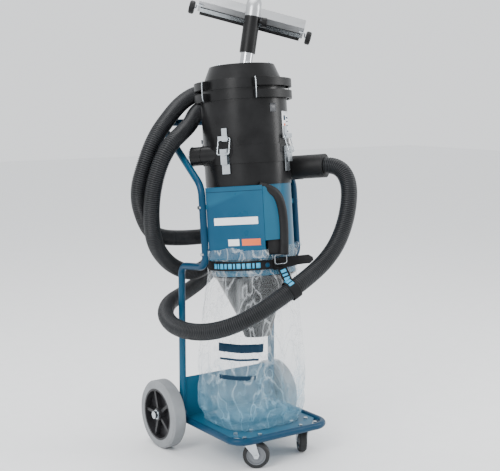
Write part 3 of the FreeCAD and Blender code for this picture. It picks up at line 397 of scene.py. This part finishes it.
# ---------------------------------------------------------------- suction hose
HOSE_ROUTE = [
    (0.184, -0.122, 0.831), (0.203, -0.154, 0.834), (0.211, -0.196, 0.790), (0.190, -0.218, 0.712),
    (0.150, -0.230, 0.634), (0.096, -0.237, 0.580), (0.030, -0.240, 0.540), (-0.042, -0.238, 0.502),
    (-0.138, -0.208, 0.440), (-0.213, -0.135, 0.398), (-0.243, -0.015, 0.387),
    (-0.224, 0.098, 0.402), (-0.158, 0.190, 0.420), (-0.060, 0.262, 0.425), (0.050, 0.312, 0.455),
    (0.140, 0.326, 0.550), (0.195, 0.314, 0.670), (0.208, 0.310, 0.790), (0.180, 0.310, 0.900),
    (0.120, 0.308, 0.987), (0.045, 0.285, 1.036), (-0.025, 0.240, 1.034), (-0.100, 0.203, 1.006),
    (-0.166, 0.163, 0.964), (-0.224, 0.133, 0.916), (-0.259, 0.130, 0.850), (-0.281, 0.147, 0.752),
    (-0.240, 0.172, 0.661), (-0.185, 0.208, 0.618), (-0.085, 0.245, 0.600), (0.050, 0.262, 0.596),
    (0.150, 0.262, 0.655), (0.192, 0.255, 0.760), (0.155, 0.263, 0.885), (0.085, 0.270, 0.966),
    (0.010, 0.239, 0.996), (-0.050, 0.200, 0.979), (-0.098, 0.150, 0.948), (-0.152, 0.104, 0.927),
    (-0.212, 0.080, 0.893), (-0.246, 0.083, 0.830), (-0.263, 0.095, 0.740), (-0.250, 0.117, 0.642),
    (-0.205, 0.160, 0.580), (-0.125, 0.215, 0.520), (-0.040, 0.228, 0.488), (0.012, 0.205, 0.530),
    (0.035, 0.188, 0.620), (0.047, 0.188, 0.690),
]
HOSE_DIAMETER = 0.047
RIB_PITCH = 0.0056
GROOVE_DEPTH = 0.0024

HOSE_ROUTE = [Vector(point) - MIDDLE for point in HOSE_ROUTE]
hose_line = route_line(HOSE_ROUTE)
hose_length = line_length(hose_line)
RIB_SHAPE = ((0.0, 0.25), (0.18, 0.0), (0.42, 0.0), (0.60, 0.25), (0.70, 1.0), (0.90, 1.0))
ribs = []  # along one rib: share of its pitch, share of the groove's depth
for k in range(int(hose_length / RIB_PITCH)):
    start = k * RIB_PITCH
    for share, sunk in RIB_SHAPE:
        ribs.append((start + share * RIB_PITCH, HOSE_DIAMETER / 2 - GROOVE_DEPTH * sunk))
ribs.append((hose_length, HOSE_DIAMETER / 2 - GROOVE_DEPTH))
hose = piece("corrugated_hose", *tube(hose_line, ribs, 24), MATERIALS["hose_black"], "hose_black")
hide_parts("suction_hose")

# ---------------------------------------------------------------- dust bag
BAG_LEVELS = [
    # height, half width, depth in front, depth behind, squareness
    (0.0965, 0.126, 0.132, 0.092, 3.4),
    (0.150, 0.143, 0.143, 0.097, 3.2),
    (0.210, 0.147, 0.147, 0.098, 3.0),
    (0.270, 0.149, 0.149, 0.099, 2.8),
    (0.340, 0.143, 0.146, 0.102, 2.6),
    (0.400, 0.136, 0.144, 0.104, 2.4),
    (0.460, 0.131, 0.147, 0.098, 2.2),
    (0.505, 0.127, 0.158, 0.090, 2.0),
    (0.540, 0.1245, 0.153, 0.094, 2.0),
]
BAG_SIDES = 288
BAG_ROWS = 110
FILM_MAX_PUSH = 0.004


def bag_ring(level, height, gather, crumple):
    """One ring of the film: a rounded square with gathers near the belt and creases low down."""
    _, half, front, back, power = level
    ring = []
    for k in range(BAG_SIDES):
        turn = 2 * math.pi * k / BAG_SIDES
        c, s = math.cos(turn), math.sin(turn)
        x = math.copysign(abs(c) ** (2 / power), c) * half
        y = math.copysign(abs(s) ** (2 / power), s) * (back if s > 0 else front)
        away = Vector((c, s, 0))
        folds = noise.noise(Vector((c * 7, s * 7, height * 3.0))) * 0.6
        folds += noise.noise(Vector((c * 16, s * 16, height * 5.0 + 4))) * 0.4
        facets = 1 - 2 * abs(noise.noise(Vector((x * 17, y * 17, height * 15))))
        facets += 0.6 * (1 - 2 * abs(noise.noise(Vector((x * 36, y * 36, height * 31 + 9)))))
        push = gather * folds + crumple * (facets - 0.9)
        ring.append(Vector((x, y, height)) - MIDDLE + away * min(push, FILM_MAX_PUSH))
    return ring


def level_at(height):
    """The bag's levels, blended smoothly at a height."""
    for low, high in zip(BAG_LEVELS, BAG_LEVELS[1:]):
        if height <= high[0]:
            share = (height - low[0]) / (high[0] - low[0])
            share = share * share * (3 - 2 * share)
            return tuple(a + (b - a) * share for a, b in zip(low, high))
    return BAG_LEVELS[-1]


# sizes in metres, places as shares of the film's height up to the drum
GATHER_LEAST, GATHER_EXTRA, GATHER_PEAK, GATHER_REACH = 0.003, 0.013, 0.86, 0.5
CRUMPLE_MOST, CRUMPLE_TOP, HEM = 0.012, 0.48, 0.04
bag_rows = []
for i in range(BAG_ROWS + 1):
    height = BAG_LEVELS[0][0] + (BAG_LEVELS[-1][0] - BAG_LEVELS[0][0]) * i / BAG_ROWS
    rise = i / BAG_ROWS
    gather = GATHER_LEAST + GATHER_EXTRA * max(0.0, 1 - abs(rise - GATHER_PEAK) / GATHER_REACH)
    crumple = CRUMPLE_MOST * max(0.0, 1 - rise / CRUMPLE_TOP)
    if rise < HEM:
        gather, crumple = gather * rise / HEM, crumple * rise / HEM
    bag_rows.append(bag_ring(level_at(height), height, gather, crumple))

# the neck lies on the drum under the belt, then flares out in a loose frill above it
NECK_RADIUS = DRUM_RADIUS + 0.0022
PANEL_CLEAR, PANEL_SPREAD = 0.1312, 36  # the frill stands clear of the flat panel
NECK_ROWS = (  # height on the tower, gap to the drum, ripple
    (-0.030, 0.0015, 0.0016), (-0.013, 0.0005, 0.0006), (0.0, 0.0004, 0.0003), (0.013, 0.0005, 0.0006),
    (0.022, 0.003, 0.0024), (0.031, 0.0045, 0.0034), (0.039, 0.006, 0.0042), (0.046, 0.0072, 0.005))
FRILL_EDGE, FRILL_START, FRILL_LIFT = 0.04, 0.015, 0.012
for height, spread, ripple in NECK_ROWS:
    ring = []
    for k in range(BAG_SIDES):
        turn = 2 * math.pi * k / BAG_SIDES
        azimuth = 90 + math.degrees(turn)
        wave = noise.noise(Vector((math.cos(turn) * 9, math.sin(turn) * 9, height * 12)))
        lift = 0
        if height > FRILL_EDGE:
            lift = FRILL_LIFT * noise.noise(Vector((math.cos(turn) * 3, math.sin(turn) * 3, 5)))
        reach = NECK_RADIUS + spread + ripple * (1 + wave * 2)
        off_panel = abs((azimuth - PANEL_TURN + 180) % 360 - 180)
        if height > FRILL_START and off_panel < PANEL_SPREAD:
            reach = max(reach, PANEL_CLEAR / math.cos(math.radians(off_panel)) + ripple * wave)
        ring.append(on_tower(azimuth, reach, height + lift))
    bag_rows.append(ring)
vertices, faces = grid(bag_rows, True)
floor_count = len(vertices)
vertices.append(Vector((0, -0.02, BAG_LEVELS[0][0])) - MIDDLE)
faces += [(floor_count, (k + 1) % BAG_SIDES, k) for k in range(BAG_SIDES)]
bag = piece("bag_film", vertices, faces, MATERIALS["bag_film"], "bag_film")
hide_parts("bag")

# ---------------------------------------------------------------- printed shapes and labels, and painted shade along the panel's crease
def patch(name, azimuth, radius, low, high, first, last, thickness, paint, slot, rows=2):
    """A thin piece that follows the tower's curve between two azimuths."""
    steps = max(2, int(abs(last - first) / 3) + 1)
    layers = []
    for i in range(rows + 1):
        height = low + (high - low) * i / rows
        layers.append([on_tower(azimuth + first + (last - first) * j / steps, radius, height)
                       for j in range(steps + 1)])
    return thicken(piece(name, *grid(layers, False), paint, slot), thickness, -1.0)


def panel_patch(name, across, low, high, thickness, paint):
    """A thin flat piece on the front panel; across holds its two edges along it."""
    out = outward(PANEL_TURN)
    side = TOWER_UP.cross(out).normalized()
    centre = TOWER_FOOT + out * PANEL_FACE
    corners = [centre + side * across[0] + TOWER_UP * low, centre + side * across[1] + TOWER_UP * low,
               centre + side * across[1] + TOWER_UP * high, centre + side * across[0] + TOWER_UP * high]
    made = piece(name, corners, [(0, 1, 2, 3)], paint, "casing_blue", smooth=False)
    return thicken(made, thickness, -1.0)


PANEL_FACE = 0.1266
panel_patch("panel_bar_long", (-0.062, 0.066), 0.114, 0.134, 0.0004, PRINT_WHITE)
panel_patch("panel_bar_short", (-0.024, 0.008), 0.056, 0.074, 0.0004, PRINT_WHITE)
panel_patch("panel_bar_orange", (0.016, 0.070), 0.056, 0.074, 0.0004, PRINT_ORANGE)
# a navy strip along the panel's crease: painted shade in the crease
panel_patch("panel_crease_shade", (-0.082, 0.082), 0.2050, 0.2066, 0.0005, NAVY_PRINT_AND_SHADE)

LABEL_SLOT = "grip_black"
LABEL_RADIUS, MARK_RADIUS = 0.1231, 0.1235
WHITE_LABEL_TURN = 34
patch("grey_label", 6, LABEL_RADIUS, 0.418, 0.442, -5, 5, 0.0006, LABEL_GREY, LABEL_SLOT)
patch("white_label", WHITE_LABEL_TURN, LABEL_RADIUS, 0.345, 0.420, -11, 12, 0.0006, PRINT_WHITE, LABEL_SLOT)
LABEL_MARKS = (  # low edge, high edge, first and last azimuth from the label's middle
    (0.395, 0.408, -7, -2), (0.374, 0.386, -7, -2), (0.354, 0.366, -7, -2), (0.400, 0.404, 1, 9),
    (0.390, 0.393, 1, 9), (0.379, 0.382, 1, 8), (0.362, 0.366, 1, 9))
ORANGE_MARK = 1
for index, (low, high, first, last) in enumerate(LABEL_MARKS):
    patch(f"label_mark_{index}", WHITE_LABEL_TURN, MARK_RADIUS, low, high, first, last, 0.0005,
          NAVY_PRINT_AND_SHADE if index != ORANGE_MARK else PRINT_ORANGE, LABEL_SLOT)

# blocks printed on the belt
BELT_RADIUS = DRUM_RADIUS + 0.0090
BLOCK_GAP = 2.0
block = -92.0
for index, width in enumerate((5.2, 2.6, 5.2, 3.6, 5.2, 2.6, 5.2, 3.6, 5.2, 2.6, 5.2)):
    patch(f"belt_block_{index}", 0, BELT_RADIUS, -0.0075, 0.0065, block, block + width, 0.0004,
          PRINT_SKY, "webbing")
    block += width + BLOCK_GAP


def bag_bar(name, height, tall, first, last):
    """A plain bar printed on the bag's front, between two of the ring's sides."""
    rows = []
    for i in range(4):
        level = height + tall * (i / 3 - 0.5)
        ring = bag_ring(level_at(level), level, 0.006, 0.0)
        rows.append([ring[k % BAG_SIDES] + Vector((math.cos(2 * math.pi * k / BAG_SIDES),
                                                   math.sin(2 * math.pi * k / BAG_SIDES), 0)) * 0.0012
                     for k in range(first, last)])
    return thicken(piece(name, *grid(rows, False), NAVY_PRINT_AND_SHADE, "bag_film"), 0.0003, -1.0)


for index, (height, tall, first, last) in enumerate(((0.336, 0.024, 158, 206), (0.305, 0.006, 160, 202),
                                                     (0.254, 0.012, 160, 200))):
    bag_bar(f"bag_bar_{index}", height, tall, first, last)

# the black duct that comes down beside the panel's flange
DUCT_ROUTE = [on_tower(*spot) for spot in ((-22, 0.129, 0.214), (-12, 0.136, 0.207), (-1, 0.139, 0.190),
                                           (4, 0.140, 0.150), (5, 0.140, 0.090), (3, 0.139, 0.024))]
duct_line = route_line(DUCT_ROUTE, 12)
duct_length = line_length(duct_line)
DUCT_RADIUS = 0.0145
duct_profile = [(duct_length * k / 40, DUCT_RADIUS) for k in range(41)]
piece("side_duct", *tube(duct_line, duct_profile, 20), MATERIALS["rubber_black"], "rubber_black")


# bright zinc wires at the ends of the two arched grips: painted highlights for the glints on the grips' end
# faces
GLINT_LOW, GLINT_HIGH, GLINT_WIRE = 0.456, 0.514, 0.0013
GLINT_ROOT, GLINT_REACH, GLINT_BEND = 0.134, 0.1395, 0.002


def grip_glint_wire(name, azimuth):
    """A bent wire that stands on the head's rim at an azimuth."""
    low_turn = on_tower(azimuth, GLINT_REACH, GLINT_LOW + GLINT_BEND)
    high_turn = on_tower(azimuth, GLINT_REACH, GLINT_HIGH - GLINT_BEND)
    way = route_line([on_tower(azimuth, GLINT_ROOT, GLINT_LOW), low_turn, (low_turn + high_turn) / 2,
                      high_turn, on_tower(azimuth, GLINT_ROOT, GLINT_HIGH)], 10)
    length = line_length(way)
    piece(name, *tube(way, [(length * k / 30, GLINT_WIRE) for k in range(31)], 10), MATERIALS["zinc"], "zinc")


for index, azimuth in enumerate((-19.5, 74.5, -88.5, 177.5)):
    grip_glint_wire(f"grip_end_glint_{index}", azimuth)

# a bright zinc ring on the spare port's mouth, a painted highlight on its rim, and a bead further in
RING_SIDES = 48
WIRE_SIDES = 12


def ring_piece(name, centre, axis, radius, thick, paint, slot):
    """A round ring of wire about an axis."""
    side = axis.orthogonal().normalized()
    other = axis.cross(side)
    rows = []
    for i in range(RING_SIDES):
        turn = 2 * math.pi * i / RING_SIDES
        way = side * math.cos(turn) + other * math.sin(turn)
        rows.append([centre + way * (radius + thick * math.cos(2 * math.pi * k / WIRE_SIDES))
                     + axis * (thick * math.sin(2 * math.pi * k / WIRE_SIDES)) for k in range(WIRE_SIDES)])
    rows.append(rows[0])
    return piece(name, *grid(rows, True), paint, slot)


PORT_TURN = math.radians(30.7)
PORT_OFFSET, PORT_HEIGHT, PORT_REACH, BEAD_BACK = 0.092, 0.3085, 0.124, 0.034
PORT_WAY = (TOWER_BACK * math.cos(PORT_TURN) - Vector((math.sin(PORT_TURN), 0, 0))).normalized()
PORT_SIDE = -(Vector((math.cos(PORT_TURN), 0, 0)) + TOWER_BACK * math.sin(PORT_TURN))
port_mouth = TOWER_FOOT + TOWER_UP * PORT_HEIGHT + PORT_SIDE * PORT_OFFSET + PORT_WAY * PORT_REACH
ring_piece("spare_port_rim_glint", port_mouth, PORT_WAY, 0.0262, 0.0016, MATERIALS["zinc"], "zinc")
ring_piece("spare_port_bead", port_mouth - PORT_WAY * BEAD_BACK, PORT_WAY, 0.0267, 0.0012,
           MATERIALS["head_black"], "head_black")

# the belt's loose tail
WEBBING_THICKNESS = 0.0018
TAIL_STEPS = 24
TAIL_LENGTH, TAIL_HALF_WIDTH, TAIL_BOW, TAIL_TWIST = 0.118, 0.0125, 0.004, 0.25
tail_root = on_tower(-2, BELT_RADIUS + 0.0035, 0.004)
tail_rows = []
for k in range(TAIL_STEPS + 1):
    share = k / TAIL_STEPS
    far = TAIL_LENGTH * share
    bow = TAIL_BOW * math.sin(3.0 * share)
    centre = tail_root + Vector((far, -bow, 0.030 * far - 0.3 * far * far))
    way = (TOWER_UP + TOWER_BACK * (TAIL_TWIST * share)).normalized()
    half = TAIL_HALF_WIDTH * min(1.0, 0.35 + 0.22 * (TAIL_STEPS - k))  # rounded at its end
    tail_rows.append([centre + way * (half * (j / 3 - 1)) for j in range(7)])
thicken(piece("belt_tail", *grid(tail_rows, False), MATERIALS["webbing"], "webbing"), WEBBING_THICKNESS, 0.0)

# the wire loop at its buckle
LOOP_HALF_WIDTH, LOOP_HALF_HEIGHT, LOOP_CORNER, LOOP_WIRE = 0.020, 0.0125, 0.005, 0.0013
CORNER_STEPS = 7
loop_middle = on_tower(0, BELT_RADIUS + 0.0062, 0.012)
loop_line = []
for corner, (side_x, side_z) in enumerate(((1, 1), (-1, 1), (-1, -1), (1, -1))):
    for k in range(CORNER_STEPS):
        turn = math.radians(corner * 90 + k * 15)
        across = side_x * (LOOP_HALF_WIDTH - LOOP_CORNER) + LOOP_CORNER * math.cos(turn)
        up = side_z * (LOOP_HALF_HEIGHT - LOOP_CORNER) + LOOP_CORNER * math.sin(turn)
        loop_line.append(loop_middle + Vector((1, 0, 0)) * across + TOWER_UP * up)
loop_line.append(loop_line[0])
loop_length = line_length(loop_line)
piece("buckle_wire", *tube(loop_line, [(loop_length * k / 96, LOOP_WIRE) for k in range(97)], 10, False),
      MATERIALS["zinc"], "webbing")

# the blue stud beside it, as rings from its rim to its crown
STUD_SHAPE = ((1.0, 0.0), (1.0, 0.35), (0.93, 0.6), (0.75, 0.82), (0.5, 0.95), (0.2, 1.0), (0.02, 1.0))
STUD_TURN, STUD_RADIUS, STUD_RISE, STUD_SIDES = -17, 0.0065, 0.0022, 28
stud_out = outward(STUD_TURN)
stud_side = TOWER_UP.cross(stud_out).normalized()
stud_middle = on_tower(STUD_TURN, BELT_RADIUS + 0.0008, -0.001)
stud_rows = []
for reach, rise in STUD_SHAPE:
    stud_rows.append([stud_middle + stud_out * (STUD_RISE * rise)
                      + (stud_side * math.cos(2 * math.pi * k / STUD_SIDES)
                         + TOWER_UP * math.sin(2 * math.pi * k / STUD_SIDES)) * (STUD_RADIUS * reach)
                      for k in range(STUD_SIDES)])
piece("belt_stud", *grid(stud_rows, True), MATERIALS["frame_blue"], "webbing")

# blocks printed along the sling: four on its band round the hose, three on its tail
SLING = Vector((-0.020, -0.237, 0.513)) - MIDDLE
SLING_WAY = (HOSE_ROUTE[8] - HOSE_ROUTE[6]).normalized()
SLING_RADIUS = HOSE_DIAMETER / 2 + 0.0052
BLOCK_HALF_WIDTH, BLOCK_THICKNESS = 0.0075, 0.0005
sling_rise = (on_tower(0, 0.137, -0.010) - SLING).normalized()
sling_side = sling_rise.cross(SLING_WAY.cross(sling_rise)).normalized()
sling_flat = sling_rise.cross(sling_side).normalized()
if sling_flat.z < 0:
    sling_flat = -sling_flat
band_up = (sling_rise - SLING_WAY * sling_rise.dot(SLING_WAY)).normalized()
band_front = SLING_WAY.cross(band_up).normalized()
if band_front.y > 0:
    band_front = -band_front
block_rows = []
for first, wide in ((14, 20), (42, 14), (64, 22), (94, 16)):  # degrees round the band
    rows = []
    for i in range(7):
        turn = math.radians(first + wide * i / 6)
        out = band_up * math.cos(turn) + band_front * math.sin(turn)
        rows.append([SLING + out * SLING_RADIUS + SLING_WAY * (BLOCK_HALF_WIDTH * (j / 2 - 1))
                     for j in range(5)])
    block_rows.append(rows)
for first, tall in ((0.036, 0.012), (0.054, 0.008), (0.068, 0.012)):
    block_rows.append([[SLING + sling_rise * (first + tall * i / 4) + sling_flat * 0.0013
                        + sling_side * (BLOCK_HALF_WIDTH * (j / 2 - 1)) for j in range(5)] for i in range(5)])
for index, rows in enumerate(block_rows):
    thicken(piece(f"sling_block_{index}", *grid(rows, False), PRINT_SKY, "webbing"), BLOCK_THICKNESS, 0.0)

# dark block under the panel's flange: painted shade, a black piece set where there is only shadow
FOOT_LOW, FOOT_TALL, FOOT_RADIUS, FOOT_BULGE, FOOT_EDGE = 0.027, 0.049, 0.1375, 0.0025, 0.004
FOOT_TURN, FOOT_SPREAD = -6, 11.5
foot_rows = []
for i in range(9):
    rise = i / 4 - 1
    pinch = 1 - 0.10 * (abs(rise) ** 4)
    bulge = FOOT_BULGE * (1 - rise ** 2)
    foot_rows.append([on_tower(FOOT_TURN + FOOT_SPREAD * pinch * (j / 6 - 1),
                               FOOT_RADIUS + bulge - FOOT_EDGE * abs(j / 6 - 1) ** 6,
                               FOOT_LOW + FOOT_TALL * i / 8) for j in range(13)])
thicken(piece("painted_shade_foot", *grid(foot_rows, False), MATERIALS["rubber_black"], "rubber_black"), 0.004, -1.0)
